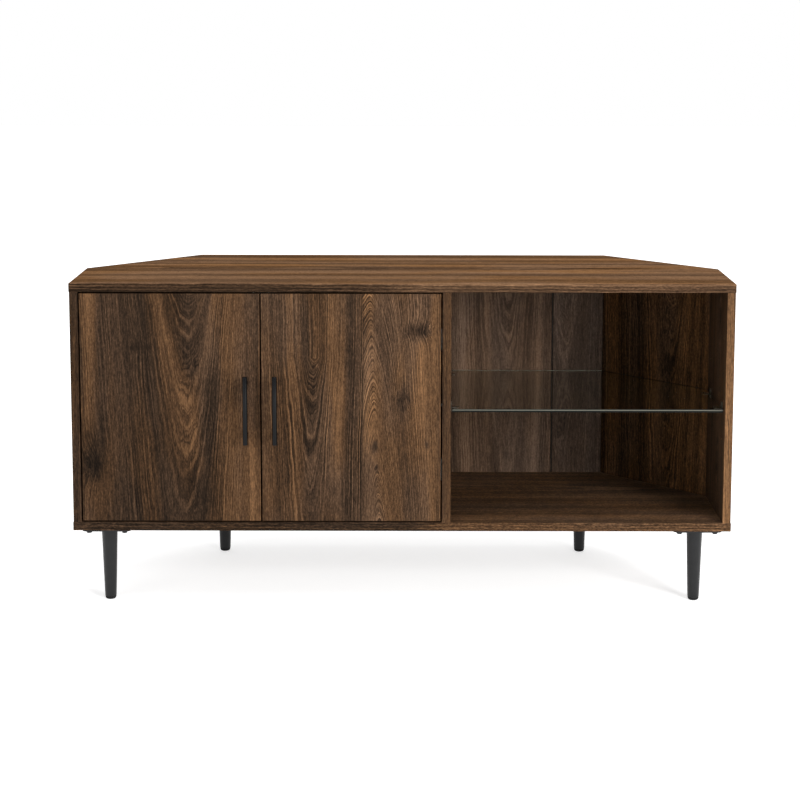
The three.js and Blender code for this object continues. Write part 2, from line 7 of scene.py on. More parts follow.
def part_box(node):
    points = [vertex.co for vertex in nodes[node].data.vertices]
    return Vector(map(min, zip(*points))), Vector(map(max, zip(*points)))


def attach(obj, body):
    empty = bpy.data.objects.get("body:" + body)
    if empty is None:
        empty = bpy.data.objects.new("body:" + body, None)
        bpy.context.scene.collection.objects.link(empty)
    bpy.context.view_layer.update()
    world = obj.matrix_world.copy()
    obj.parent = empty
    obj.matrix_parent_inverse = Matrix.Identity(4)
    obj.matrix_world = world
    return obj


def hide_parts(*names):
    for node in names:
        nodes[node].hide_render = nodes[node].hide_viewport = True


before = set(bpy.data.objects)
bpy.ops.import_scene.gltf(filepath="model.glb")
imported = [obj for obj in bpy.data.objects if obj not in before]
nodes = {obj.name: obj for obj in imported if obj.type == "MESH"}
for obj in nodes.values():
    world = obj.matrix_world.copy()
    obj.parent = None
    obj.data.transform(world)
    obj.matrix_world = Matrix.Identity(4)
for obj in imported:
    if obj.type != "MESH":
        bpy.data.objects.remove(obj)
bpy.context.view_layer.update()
print("frame loaded:", len(nodes), "nodes")


def middle(node):
    low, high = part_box(node)
    return (low + high) / 2


# small helpers for shader trees

def fill(tree, made, values):    # links a socket, sets anything else
    for key, value in values.items():
        if isinstance(value, bpy.types.NodeSocket):
            tree.links.new(value, made.inputs[key])
        else:
            made.inputs[key].default_value = value
    return made


def addNode(tree, kind, values=None, **settings):
    made = tree.nodes.new(kind)
    for key, value in settings.items():
        setattr(made, key, value)
    return fill(tree, made, values or {})


def calc(tree, operation, *values, clamp=False):
    made = addNode(tree, "ShaderNodeMath", operation=operation, use_clamp=clamp)
    return fill(tree, made, dict(enumerate(values))).outputs[0]


def vectorCalc(tree, operation, *values):
    made = addNode(tree, "ShaderNodeVectorMath", operation=operation)
    return fill(tree, made, dict(enumerate(values))).outputs


def total(tree, whole, *values):
    for value in values:
        whole = calc(tree, "ADD", whole, value)
    return whole


def times(tree, whole, *values):
    for value in values:
        whole = calc(tree, "MULTIPLY", whole, value)
    return whole


def minus(tree, value, taken):
    return calc(tree, "SUBTRACT", value, taken)


def over(tree, value, divisor):
    return calc(tree, "DIVIDE", value, divisor)


def swing(tree, value, amount):    # a 0..1 noise as half the amount either way
    return times(tree, minus(tree, value, 0.5), amount)


def bell(tree, value):    # 1 at nought, falling away on both sides
    return calc(tree, "EXPONENT", times(tree, value, value, -1.0))


def step(tree, value, low, high):
    made = addNode(tree, "ShaderNodeMapRange", interpolation_type="SMOOTHSTEP")
    return fill(tree, made, {"Value": value, "From Min": low, "From Max": high}).outputs[0]


def parts(tree, vector):
    return addNode(tree, "ShaderNodeSeparateXYZ", {0: vector}).outputs


def stretched(tree, vector, across, depth, along):
    return vectorCalc(tree, "MULTIPLY", vector, (across, depth, along))[0]


def noiseAt(tree, vector, scale, detail=2.0, roughness=0.5):
    return addNode(tree, "ShaderNodeTexNoise", {"Vector": vector, "Scale": scale, "Detail": detail,
                                                "Roughness": roughness}).outputs[0]


def noiseAlong(tree, value, scale, detail, roughness):    # one-dimensional
    return addNode(tree, "ShaderNodeTexNoise", noise_dimensions="1D",
                   values={"W": value, "Scale": scale, "Detail": detail, "Roughness": roughness}).outputs[0]


def ramp(tree, value, stops):
    made = addNode(tree, "ShaderNodeValToRGB", {0: value})
    elements = made.color_ramp.elements
    while len(elements) < len(stops):
        elements.new(0.5)
    for element, (place, colour) in zip(elements, stops):
        element.position = place
        element.color = (*colour, 1.0)
    return made.outputs[0]


mixSockets = {"FLOAT": (2, 0), "VECTOR": (4, 1), "RGBA": (6, 2)}    # first input and output of each kind


def mixed(tree, amount, first, second, kind="FLOAT"):
    source, result = mixSockets[kind]
    made = addNode(tree, "ShaderNodeMix", data_type=kind)
    return fill(tree, made, {0: amount, source: first, source + 1: second}).outputs[result]


def newGroup(name, inputs, outputs):    # an input of None is a vector
    tree = bpy.data.node_groups.new(name, "ShaderNodeTree")
    for label, default in inputs.items():
        kind = "NodeSocketVector" if default is None else "NodeSocketFloat"
        socket = tree.interface.new_socket(label, in_out="INPUT", socket_type=kind)
        if default is not None:
            socket.default_value = default
    for label in outputs:
        kind = "NodeSocketColor" if label == "Color" else "NodeSocketFloat"
        tree.interface.new_socket(label, in_out="OUTPUT", socket_type=kind)
    start = tree.nodes.new("NodeGroupInput")
    return tree, {label: start.outputs[label] for label in inputs}, tree.nodes.new("NodeGroupOutput")


def useGroup(tree, group, values):
    made = tree.nodes.new("ShaderNodeGroup")
    made.node_tree = group
    return fill(tree, made, values).outputs


def newMaterial(name, **plain):
    material = bpy.data.materials.new(name)
    material.use_nodes = True
    tree = material.node_tree
    tree.nodes.clear()
    shader = addNode(tree, "ShaderNodeBsdfPrincipled", plain)
    result = tree.nodes.new("ShaderNodeOutputMaterial")
    tree.links.new(shader.outputs[0], result.inputs["Surface"])
    return material, tree, shader, tree.nodes.new("ShaderNodeTexCoord").outputs["Object"]


def normalParts(tree):    # of the surface, along the object's axes
    return parts(tree, tree.nodes.new("ShaderNodeTexCoord").outputs["Normal"])


def addBump(tree, shader, height, distance, strength=1.0):
    made = addNode(tree, "ShaderNodeBump", {"Height": height, "Distance": distance, "Strength": strength})
    tree.links.new(made.outputs[0], shader.inputs["Normal"])


# walnut: lines along the grain that open into a cathedral at a heart line, knots that push them aside,
# streaks (a few of them painted light or painted shade, as marked below), fibres and pores
# in every wood group the vector is (across the grain, into the board, along the grain), in metres

grainNoises = dict(    # factor along the grain (a small one draws it out), scale, detail, roughness
    knotEdge=(0.5, 70.0, 3.0, 0.65), streakEdge=(0.14, 45.0, 2.0, 0.5), wander=(0.2, 14.0, 1.0, 0.5),
    ripple=(0.25, 80.0, 2.0, 0.5), fibre=(0.13, 480.0, 2.0, 0.6), fleck=(0.42, 520.0, 1.0, 0.6),
    wisp=(0.045, 260.0, 2.0, 0.55), cloud=(0.28, 12.0, 2.0, 0.5), pore=(0.08, 1300.0, 1.0, 0.5),
    patch=(0.22, 26.0, 1.0, 0.5), warmth=(0.2, 19.0, 1.0, 0.5))

veneer = dict(
    knotWobble=2.2, streakWobble=1.3, streakRings=2.4, streakFade=0.035,    # outlines of knots and streaks
    tip=0.003, conePower=0.4, sideways=0.3, ripple=0.0044, inward=0.8, seedStep=37.0,    # course of the rings
    ringNoise=(1.0, 2.0, 0.6), bandNoise=(0.09, 2.0, 0.5),    # scale, detail, roughness
    leafJoin=0.0015, joinWave=6.0, joinSwing=0.012,    # where one leaf takes over from the next
    crease=0.46, creaseRange=(0.0, 0.045), creaseDepth=0.22,    # thin dark lines, at one level of the rings
    patchRange=(0.3, 0.7), leastContrast=0.35,    # patches in which the rings show more
    cloud=0.26, poreRange=(0.58, 0.70), poreDepth=0.09, warmRange=(0.35, 0.65), coolSaturation=0.90,
    roughness=0.55, fibreRoughness=0.16, wispRoughness=0.08,
    poreHeight=-0.9, bump=(0.00012, 0.6),    # distance, strength
    endFaces=(0.4, 0.5), rearFaces=(0.3, 0.4), rearSaturation=0.94,    # faces by their normal's share
    shades=[(0.0, (0.0085, 0.0054, 0.0034)), (0.22, (0.0245, 0.0140, 0.0078)),
            (0.45, (0.0680, 0.0355, 0.0176)), (0.65, (0.1380, 0.0715, 0.0335)),
            (0.85, (0.2350, 0.1200, 0.0540)), (1.0, (0.3300, 0.1800, 0.0860))])

chipboard = dict(skin=(0.00045, 0.00065), chips=(420.0, 3.0, 0.7),    # depth; scale, detail, roughness
                 shades=[(0.3, (0.20, 0.13, 0.075)), (0.7, (0.48, 0.35, 0.22))])


def grainNoise(tree, vector, name):
    along, scale, detail, roughness = grainNoises[name]
    return noiseAt(tree, stretched(tree, vector, 1, 1, along), scale, detail, roughness)


def makeKnotGroup():
    tree, given, result = newGroup("knot", {"Vector": None, "Across": 0.0, "Along": 0.0, "Width": 0.01,
                                            "Length": 0.03, "Push": 0.01, "Darkness": 0.3},
                                   ["Shift", "Shade"])
    place = parts(tree, given["Vector"])
    wobble = swing(tree, grainNoise(tree, given["Vector"], "knotEdge"), veneer["knotWobble"])
    x = over(tree, minus(tree, place[0], given["Across"]), given["Width"])
    z = over(tree, minus(tree, place[2], given["Along"]), given["Length"])
    hump = times(tree, bell(tree, total(tree, x, wobble)), bell(tree, z))
    fill(tree, result, {"Shift": times(tree, hump, given["Push"]),
                        "Shade": times(tree, hump, hump, given["Darkness"])})
    return tree


def makeStreakGroup():
    tree, given, result = newGroup("streak", {"Vector": None, "Ring": 0.5, "Across": 0.0, "Width": 0.01,
                                              "Low": -2.0, "High": 2.0, "Lean": 0.0, "Strength": 0.2},
                                   ["Tone"])
    place = parts(tree, given["Vector"])
    wave = swing(tree, grainNoise(tree, given["Vector"], "streakEdge"), veneer["streakWobble"])
    centre = times(tree, total(tree, given["Low"], given["High"]), 0.5)
    drift = times(tree, minus(tree, place[2], centre), given["Lean"])
    x = minus(tree, minus(tree, place[0], given["Across"]), drift)
    x = total(tree, over(tree, x, given["Width"]), wave, swing(tree, given["Ring"], veneer["streakRings"]))
    fade = veneer["streakFade"]
    begins = step(tree, minus(tree, place[2], given["Low"]), -fade, fade)
    ends = step(tree, minus(tree, given["High"], place[2]), -fade, fade)
    fill(tree, result, {"Tone": times(tree, bell(tree, x), times(tree, begins, ends), given["Strength"])})
    return tree


def makeLeafGroup(name, conical):    # conical: rings of a cone cut lengthwise; otherwise plain chevrons
    tree, given, result = newGroup(name, {"Vector": None, "Shift": 0.0, "Heart": 0.0, "Drift": 0.0,
                                          "From": 0.0, "To": 1.0, "Rise": 0.05, "Reach": 0.03,
                                          "Spacing": 0.002, "Wander": 0.01, "Seed": 0.0},
                                   ["Ring", "Band", "Place"])
    across, depth, along = parts(tree, given["Vector"])
    moved = vectorCalc(tree, "ADD", given["Vector"], given["Seed"])[0]
    drift = times(tree, minus(tree, along, given["From"]), given["Drift"])
    x = total(tree, minus(tree, minus(tree, across, given["Heart"]), drift),
              swing(tree, grainNoise(tree, moved, "wander"), given["Wander"]))
    climb = addNode(tree, "ShaderNodeMapRange", {"Value": along, "From Min": given["From"],
                                                 "From Max": given["To"]}).outputs[0]
    height = veneer["tip"]
    if conical:
        height = times(tree, calc(tree, "POWER", climb, veneer["conePower"]), given["Rise"])
    away = calc(tree, "SQRT", total(tree, times(tree, x, x), times(tree, height, height), veneer["tip"] ** 2))
    if not conical:
        chevron = times(tree, climb, given["Rise"], bell(tree, over(tree, x, given["Reach"])))
        away = minus(tree, away, chevron)
    place = total(tree, away, times(tree, x, veneer["sideways"]),
                  swing(tree, grainNoise(tree, moved, "ripple"), veneer["ripple"]), given["Shift"])
    inside = total(tree, place, times(tree, depth, veneer["inward"]))
    rings = total(tree, over(tree, inside, given["Spacing"]), times(tree, given["Seed"], veneer["seedStep"]))
    fill(tree, result, {"Ring": noiseAlong(tree, rings, *veneer["ringNoise"]),
                        "Band": noiseAlong(tree, rings, *veneer["bandNoise"]), "Place": place})
    return tree


def makeWalnutGroup():
    tree, given, result = newGroup("walnut", {"Vector": None, "Ring": 0.5, "Band": 0.5, "Tone": 0.0,
                                              "Base": 0.5, "Ring Contrast": 0.5, "Band Contrast": 0.5,
                                              "Fibre Contrast": 0.3, "Fleck Contrast": 0.3,
                                              "Wisp Contrast": 0.3, "Seed": 0.0},
                                   ["Color", "Roughness", "Height"])
    moved = vectorCalc(tree, "ADD", given["Vector"], given["Seed"])[0]
    names = ("fibre", "fleck", "wisp", "cloud", "pore", "patch", "warmth")
    fibre, fleck, wisp, cloud, pore, patch, warmth = (grainNoise(tree, moved, name) for name in names)
    pore = step(tree, pore, *veneer["poreRange"])
    patch = step(tree, patch, *veneer["patchRange"])
    clear = times(tree, given["Ring Contrast"], total(tree, veneer["leastContrast"], patch))
    crease = calc(tree, "ABSOLUTE", minus(tree, given["Ring"], veneer["crease"]))
    crease = times(tree, minus(tree, step(tree, crease, *veneer["creaseRange"]), 1.0), clear)
    value = total(tree, given["Base"], given["Tone"], times(tree, crease, veneer["creaseDepth"]),
                  swing(tree, given["Ring"], clear), swing(tree, given["Band"], given["Band Contrast"]),
                  swing(tree, fibre, given["Fibre Contrast"]), swing(tree, fleck, given["Fleck Contrast"]),
                  swing(tree, wisp, given["Wisp Contrast"]), swing(tree, cloud, veneer["cloud"]))
    value = calc(tree, "SUBTRACT", value, times(tree, pore, veneer["poreDepth"]), clamp=True)
    colour = ramp(tree, value, veneer["shades"])
    warm = step(tree, total(tree, warmth, given["Tone"]), *veneer["warmRange"])
    cool = addNode(tree, "ShaderNodeHueSaturation", {"Saturation": veneer["coolSaturation"],
                                                     "Color": colour}).outputs[0]
    roughness = total(tree, swing(tree, fibre, veneer["fibreRoughness"]),
                      swing(tree, wisp, veneer["wispRoughness"]), veneer["roughness"])
    fill(tree, result, {"Color": mixed(tree, warm, cool, colour, "RGBA"), "Roughness": roughness,
                        "Height": total(tree, fibre, times(tree, pore, veneer["poreHeight"]))})
    return tree


def makeCoreGroup():    # chipboard, seen where a hole or bore runs inside the board
    tree, given, result = newGroup("chipboardCore", {"Vector": None, "Low": None, "High": None},
                                   ["Color", "Inside"])
    least = vectorCalc(tree, "SUBTRACT", given["Vector"], given["Low"])[0]
    most = vectorCalc(tree, "SUBTRACT", given["High"], given["Vector"])[0]
    x, y, z = parts(tree, vectorCalc(tree, "MINIMUM", least, most)[0])
    nearest = calc(tree, "MINIMUM", calc(tree, "MINIMUM", x, y), z)
    chips = noiseAt(tree, given["Vector"], *chipboard["chips"])
    fill(tree, result, {"Inside": step(tree, nearest, *chipboard["skin"]),
                        "Color": ramp(tree, chips, chipboard["shades"])})
    return tree


knotGroup = makeKnotGroup()
streakGroup = makeStreakGroup()
coneGroup = makeLeafGroup("coneLeaf", True)
chevronGroup = makeLeafGroup("chevronLeaf", False)
walnutGroup = makeWalnutGroup()
coreGroup = makeCoreGroup()

grainTurns = {    # turns of the object's axes that lay the grain along the third axis
    "upright": (0, 1, 2), "sideways": (1, 0, 2), "lying": (1, 2, 0),
}


def grainVector(tree, place, way):    # a way given as a number: degrees round the upright axis
    if way in grainTurns:
        axes = parts(tree, place)
        turned = {i: axes[a] for i, a in enumerate(grainTurns[way])}
        return addNode(tree, "ShaderNodeCombineXYZ", turned).outputs[0]
    turn = {"Vector": place, "Rotation": (0, 0, math.radians(way))}
    return addNode(tree, "ShaderNodeMapping", turn).outputs[0]


# what holds where a leaf or a panel says nothing else
plainLeaf = dict(drift=0.0, reach=0.03, wander=0.012, contrast=1.0, growth=[])
plainPanel = dict(rings=0.72, bands=0.32, fibres=0.55, flecks=0.38, wisps=0.22, gloss=0.02, saturation=1.0,
                  banded=False, bored=False, knots=[], streaks=[], edges=[])


def addKnots(tree, vector, knots, tone):
    shift = 0.0
    for x, z, width, length, push, dark in knots:
        knot = useGroup(tree, knotGroup, {"Vector": vector, "Across": x, "Along": z, "Width": width,
                                          "Length": length, "Push": push, "Darkness": dark})
        shift = total(tree, shift, knot["Shift"])
        tone = minus(tree, tone, knot["Shade"])
    return shift, tone


def addLeaves(tree, vector, leaves, shift, tone):
    ring = band = None
    for figure in leaves:
        group = chevronGroup if "reach" in figure else coneGroup
        leaf = {**plainLeaf, **figure}
        cut = useGroup(tree, group, {"Vector": vector, "Shift": shift, "Heart": leaf["heart"],
                                     "Drift": leaf["drift"], "From": leaf["start"], "To": leaf["end"],
                                     "Rise": leaf["rise"], "Reach": leaf["reach"],
                                     "Spacing": leaf["spacing"], "Wander": leaf["wander"],
                                     "Seed": leaf["seed"]})
        for where, width, strength in leaf["growth"]:
            line = bell(tree, over(tree, minus(tree, cut["Place"], where), width))
            tone = total(tree, tone, times(tree, line, strength))
        if ring is None:
            ring, band = cut["Ring"], cut["Band"]
            continue
        clearer = total(tree, swing(tree, cut["Ring"], leaf["contrast"]), 0.5)
        wave = noiseAt(tree, stretched(tree, vector, 0, 0, 1), veneer["joinWave"])
        wavy = total(tree, parts(tree, vector)[0], swing(tree, wave, veneer["joinSwing"]))
        side = step(tree, wavy, leaf["begins"] - veneer["leafJoin"], leaf["begins"] + veneer["leafJoin"])
        ring, band = mixed(tree, side, ring, clearer), mixed(tree, side, band, cut["Band"])
    return ring, band, tone


def walnutMaterial(panel, settings):
    material, tree, shader, place = newMaterial("walnut_" + panel)
    look = {**plainPanel, **settings}
    vector = grainVector(tree, place, look["grain"])
    low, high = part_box(panel)
    tone, saturation = 0.0, look["saturation"]
    if look["banded"]:    # edge bands at the ends, their grain along the edge
        axes = parts(tree, place)
        band = addNode(tree, "ShaderNodeCombineXYZ", {0: axes[2], 2: axes[1]}).outputs[0]
        end = step(tree, calc(tree, "ABSOLUTE", normalParts(tree)[0]), *veneer["endFaces"])
        vector = mixed(tree, end, vector, band, "VECTOR")
    if "outside" in look:    # how much lighter or darker the rear face is
        outer = step(tree, normalParts(tree)[1], *veneer["rearFaces"])
        tone = times(tree, outer, look["outside"])
        saturation = mixed(tree, outer, saturation, veneer["rearSaturation"])
    shift, tone = addKnots(tree, vector, look["knots"], tone)
    ring, band, tone = addLeaves(tree, vector, look["leaves"], shift, tone)
    for x, width, begin, end, lean, strength in look["streaks"]:
        streak = useGroup(tree, streakGroup, {"Vector": vector, "Ring": ring, "Across": x, "Width": width,
                                              "Low": begin, "High": end, "Lean": lean,
                                              "Strength": strength})
        tone = total(tree, tone, streak["Tone"])
    # a thin line painted along one side of the panel: painted shade at the back panels' seams, a painted
    # highlight along the doors' edges
    for corner, width, strength in look["edges"]:
        away = minus(tree, parts(tree, vector)[0], (low, high)[corner].x)
        tone = total(tree, tone, times(tree, bell(tree, over(tree, away, width)), strength))
    wood = useGroup(tree, walnutGroup, {"Vector": vector, "Ring": ring, "Band": band, "Tone": tone,
                                        "Base": look["base"], "Ring Contrast": look["rings"],
                                        "Band Contrast": look["bands"], "Fibre Contrast": look["fibres"],
                                        "Fleck Contrast": look["flecks"], "Wisp Contrast": look["wisps"],
                                        "Seed": look["leaves"][0]["seed"]})
    colour = addNode(tree, "ShaderNodeHueSaturation", {"Saturation": saturation,
                                                       "Color": wood["Color"]}).outputs[0]
    if look["bored"]:
        core = useGroup(tree, coreGroup, {"Vector": place, "Low": low, "High": high})
        colour = mixed(tree, core["Inside"], colour, core["Color"], "RGBA")
    tree.links.new(colour, shader.inputs["Base Color"])
    tree.links.new(wood["Roughness"], shader.inputs["Roughness"])
    shader.inputs["Specular IOR Level"].default_value = look["gloss"]
    addBump(tree, shader, wood["Height"], *veneer["bump"])
    return material


# what each panel's veneer shows, in metres
# leaf: heart line, where its figure starts and ends along the grain, how far it rises, reach of its chevrons;
# a second leaf begins at a place across the grain; growth bands of a leaf: place, width, strength
# knot: across, along, width, length, push, darkness
# streak: across, width, low and high end (-1 and 2 lie past the panel's ends), lean, strength; a few streaks
# are painted light or painted shade, as marked
# edges: low or high side, width, strength of a thin line painted along that side: dark lines at the back
# panels' seams, partly the boards' dark edges and partly painted shade, and a painted highlight along the
# doors' edges

# a dark line along both sides of each back panel, partly the boards' dark edges and partly painted shade
# where the panels meet
seamEdgeAndShade = [(0, 0.0016, -0.4), (1, 0.0016, -0.4)]
backStrip = dict(grain="upright", edges=seamEdgeAndShade, outside=-0.03, base=0.455, rings=0.4, bands=0.3, fibres=0.4,
                 flecks=0.3, wisps=0.1, saturation=0.74)
angledPanel = dict(rings=0.5, bands=0.6, fibres=0.6, flecks=0.5, saturation=1.1)
panels = {
    "left_door": dict(
        # edges: a painted highlight along the door's high side, where its edge catches the light
        grain="upright", base=0.375, rings=0.52, bored=True, edges=[(1, 0.0010, 0.22)],
        leaves=[dict(heart=-0.381, start=0.60, end=0.16, rise=0.068, spacing=0.0024, seed=1.7,
                     growth=[(0.040, 0.005, -0.16), (0.052, 0.005, 0.10), (0.022, 0.008, -0.08),
                             (0.070, 0.005, -0.10)]),
                dict(begins=-0.283, heart=-0.20, start=0.2, end=0.6, rise=0.03, spacing=0.0024, seed=5.1)],
        knots=[(-0.572, 0.268, 0.020, 0.034, 0.010, 0.26), (-0.485, 0.495, 0.010, 0.036, 0.004, 0.10),
               (-0.380, 0.455, 0.006, 0.018, 0.002, 0.24)],
        streaks=[(-0.577, 0.013, 0.335, 2, 0.0, 0.25), (-0.575, 0.018, -1, 0.24, 0.0, 0.13),
                 (-0.553, 0.008, 0.28, 2, 0.0, -0.10),
                 (-0.507, 0.035, -1, 2, 0.0, -0.05), (-0.500, 0.030, -1, 0.24, 0.0, -0.09),
                 (-0.409, 0.015, 0.24, 0.62, -0.24, 0.13), (-0.315, 0.026, 0.43, 2, 0.0, 0.16),
                 (-0.312, 0.022, -1, 0.38, 0.0, 0.11), (-0.276, 0.014, -1, 0.315, 0.0, 0.16),
                 (-0.350, 0.010, 0.18, 0.46, 0.0, -0.09), (-0.268, 0.016, 0.31, 2, 0.0, -0.08)]),
    "right_door": dict(
        # edges: a painted highlight along the door's high side, where its edge catches the light
        grain="upright", base=0.425, bored=True, edges=[(1, 0.0010, 0.22)],
        leaves=[dict(heart=-0.158, start=0.47, end=0.15, rise=0.036, spacing=0.0024, seed=8.3,
                     growth=[(0.026, 0.004, -0.13), (0.014, 0.005, -0.10)]),
                dict(begins=-0.071, heart=-0.060, drift=-0.045, start=0.60, end=0.14, rise=0.225,
                     reach=0.048, spacing=0.0030, wander=0.006, contrast=1.6, seed=3.2)],
        knots=[(0.030, 0.520, 0.028, 0.018, 0.012, 0.33), (0.002, 0.392, 0.013, 0.036, 0.010, 0.31),
               (-0.051, 0.304, 0.007, 0.016, 0.004, 0.32), (-0.047, 0.264, 0.004, 0.009, 0.002, 0.30),
               (0.046, 0.308, 0.006, 0.009, 0.003, 0.24)],
        streaks=[(0.000, 0.045, -1, 2, 0.0, 0.05), (-0.235, 0.020, -1, 2, 0.0, -0.06),
                 (-0.198, 0.012, 0.39, 2, 0.0, 0.14), (-0.196, 0.010, -1, 0.40, 0.0, 0.11),
                 (-0.129, 0.018, 0.40, 2, 0.0, 0.12), (-0.121, 0.014, 0.25, 0.42, 0.0, 0.16),
                 (-0.0915, 0.014, -1, 2, 0.0, -0.13), (-0.057, 0.015, 0.28, 2, 0.0, 0.20),
                 (0.037, 0.016, 0.33, 0.51, 0.0, 0.16), (0.048, 0.018, -1, 0.32, 0.0, 0.11),
                 (0.008, 0.012, 0.16, 0.38, -0.10, -0.11), (0.058, 0.006, -1, 2, 0.0, 0.09)]),
    "left_side_panel": dict(
        grain="sideways", base=0.33, bored=True,
        leaves=[dict(heart=-0.09, start=0.7, end=0.1, rise=0.06, spacing=0.0016, seed=2.6)]),
    "right_side_panel": dict(
        grain="sideways", base=0.36, bored=True,
        leaves=[dict(heart=-0.10, start=0.1, end=0.7, rise=0.05, spacing=0.0016, seed=6.4)],
        streaks=[(-0.1853, 0.0016, -1, 2, 0.0, 0.32)]),
    "divider_panel": dict(
        grain="sideways", base=0.45, bored=True,
        leaves=[dict(heart=0.02, start=0.1, end=0.7, rise=0.05, spacing=0.0016, seed=4.4)]),
    "top_panel": dict(
        grain="lying", banded=True, base=0.64, rings=0.7, bands=0.85, fibres=0.5, saturation=1.03, gloss=0.0,
        leaves=[dict(heart=0.03, start=-0.8, end=0.9, rise=0.05, spacing=0.0042, seed=11.3)],
        streaks=[(-0.1853, 0.0012, -1, -0.02, 0.0, -0.36), (-0.1853, 0.0012, -0.02, 1, 0.0, -0.25)]),
    "bottom_panel": dict(
        grain="lying", banded=True, base=0.45, rings=0.7, bands=0.5, fibres=0.7, flecks=0.7,
        leaves=[dict(heart=0.08, start=-0.6, end=0.7, rise=0.05, spacing=0.0022, seed=9.2)],
        streaks=[(-0.1853, 0.0012, -1, 0.05, 0.0, -0.12), (-0.1853, 0.0012, 0.05, 1, 0.0, 0.09),
                 # the last streak on the next line is painted shadow on the floor of the open bay, towards
                 # the angled panel
                 (0.110, 0.060, 0.34, 2, 0.0, -0.12)]),
    "inner_shelf": dict(
        grain="lying", base=0.45,
        leaves=[dict(heart=0.0, start=-0.7, end=0.1, rise=0.07, spacing=0.0026, seed=3.9)]),
    "centre_back_panel": dict(
        grain="upright", edges=seamEdgeAndShade, outside=-0.12, base=0.545, rings=0.5, bands=0.4, fibres=0.4,
        flecks=0.3, wisps=0.1, saturation=0.82,
        leaves=[dict(heart=0.226, start=0.66, end=0.12, rise=0.05, spacing=0.0022, seed=1.2)],
        streaks=[(0.172, 0.010, -1, 2, 0.0, 0.16), (0.135, 0.018, -1, 2, 0.0, 0.06)]),
    "left_back_strip": dict(
        backStrip, leaves=[dict(heart=-0.33, start=0.6, end=0.2, rise=0.04, spacing=0.0018, seed=2.1)]),
    "right_back_strip": dict(
        backStrip, leaves=[dict(heart=0.34, start=0.6, end=0.2, rise=0.04, spacing=0.0018, seed=5.5)]),
    "left_angled_panel": dict(
        angledPanel, grain=-45, outside=0.09, base=0.30,
        leaves=[dict(heart=-0.33, start=0.6, end=0.1, rise=0.05, spacing=0.0022, seed=6.9)]),
    "right_angled_panel": dict(
        angledPanel, grain=45, outside=0.06, base=0.33,
        leaves=[dict(heart=0.33, start=0.6, end=0.1, rise=0.05, spacing=0.0022, seed=7.2)],
        # these two lighter streaks are painted light, where light reaches the panel
        streaks=[(0.286, 0.014, -1, 2, 0.0, 0.07), (0.373, 0.030, -1, 2, 0.0, 0.13)]),
}

for panel, settings in panels.items():
    slots = nodes[panel].data.materials
    slots.clear()
    slots.append(walnutMaterial(panel, settings))
print("walnut panels:", len(panels))


# the other finishes

speckle = dict(fine=(3.0, 0.6), wide=(60.0, 2.0, 0.5), tintScale=0.6, tintSpread=1.2, tintMiddle=0.5,
               roughnessSpread=0.22)


def makeSpeckleGroup():    # fine unevenness of paint, plating or moulded plastic
    tree, given, result = newGroup("speckle", {"Vector": None, "Scale": 900.0, "Spread": 0.2, "Middle": 0.4},
                                   ["Value", "Height"])
    fine = noiseAt(tree, given["Vector"], given["Scale"], *speckle["fine"])
    wide = noiseAt(tree, given["Vector"], *speckle["wide"])
    swung = total(tree, minus(tree, fine, 0.5), minus(tree, wide, 0.5))
    fill(tree, result, {"Value": total(tree, given["Middle"], times(tree, swung, given["Spread"])),
                        "Height": fine})
    return tree


speckleGroup = makeSpeckleGroup()

finishes = {    # dark and light tint, roughness, scale of the speckle, depth of its bump, gloss
    "black_powder_coat": dict(dark=(0.008, 0.008, 0.0084), light=(0.015, 0.015, 0.0157), roughness=0.36,
                              scale=1400, bump=0.00004, gloss=0.22),
    "black_handle_finish": dict(dark=(0.0008, 0.0008, 0.001), light=(0.002, 0.002, 0.0024),
                                roughness=0.12, scale=2200, bump=0.00001, gloss=0.14),
    "zinc_plate": dict(dark=(0.42, 0.42, 0.41), light=(0.60, 0.60, 0.58), roughness=0.34,
                       scale=2600, bump=0.00002, metallic=1.0),
    "nickel_plate": dict(dark=(0.50, 0.49, 0.46), light=(0.62, 0.61, 0.58), roughness=0.28,
                         scale=2600, bump=0.00001, metallic=1.0),
    # a dark satin nickel, made darker still as painted shade, so the hinge arms, plates and shelf pegs stay
    # dark in the door gaps
    "satin_nickel_dark_as_shade": dict(dark=(0.16, 0.16, 0.155), light=(0.24, 0.24, 0.23), roughness=0.55,
                         scale=2600, bump=0.00002, metallic=1.0),
    "black_plastic": dict(dark=(0.007, 0.007, 0.007), light=(0.014, 0.014, 0.014), roughness=0.55,
                          scale=1800, bump=0.00004, gloss=0.12),
    "clear_plastic": dict(dark=(0.50, 0.48, 0.38), light=(0.62, 0.60, 0.48), roughness=0.30,
                          scale=900, bump=0.00002, gloss=0.2, clear=0.92),
}


def finishMaterial(name, dark, light, roughness, scale, bump, gloss=0.5, metallic=0.0, clear=0.0):
    material, tree, shader, place = newMaterial(name, Metallic=metallic)
    tint = useGroup(tree, speckleGroup, {"Vector": place, "Scale": scale * speckle["tintScale"],
                                         "Spread": speckle["tintSpread"], "Middle": speckle["tintMiddle"]})
    matt = useGroup(tree, speckleGroup, {"Vector": place, "Scale": scale,
                                         "Spread": speckle["roughnessSpread"], "Middle": roughness})
    tree.links.new(ramp(tree, tint["Value"], [(0.0, dark), (1.0, light)]), shader.inputs["Base Color"])
    tree.links.new(matt["Value"], shader.inputs["Roughness"])
    addBump(tree, shader, matt["Height"], bump)
    shader.inputs["Specular IOR Level"].default_value = gloss
    shader.inputs["Transmission Weight"].default_value = clear
    return material


glass = dict(index=1.5, colour=(0.90, 0.945, 0.915), paler=1.04, tint=(8.0, 1.0), haze=0.004, hazeScale=300.0)


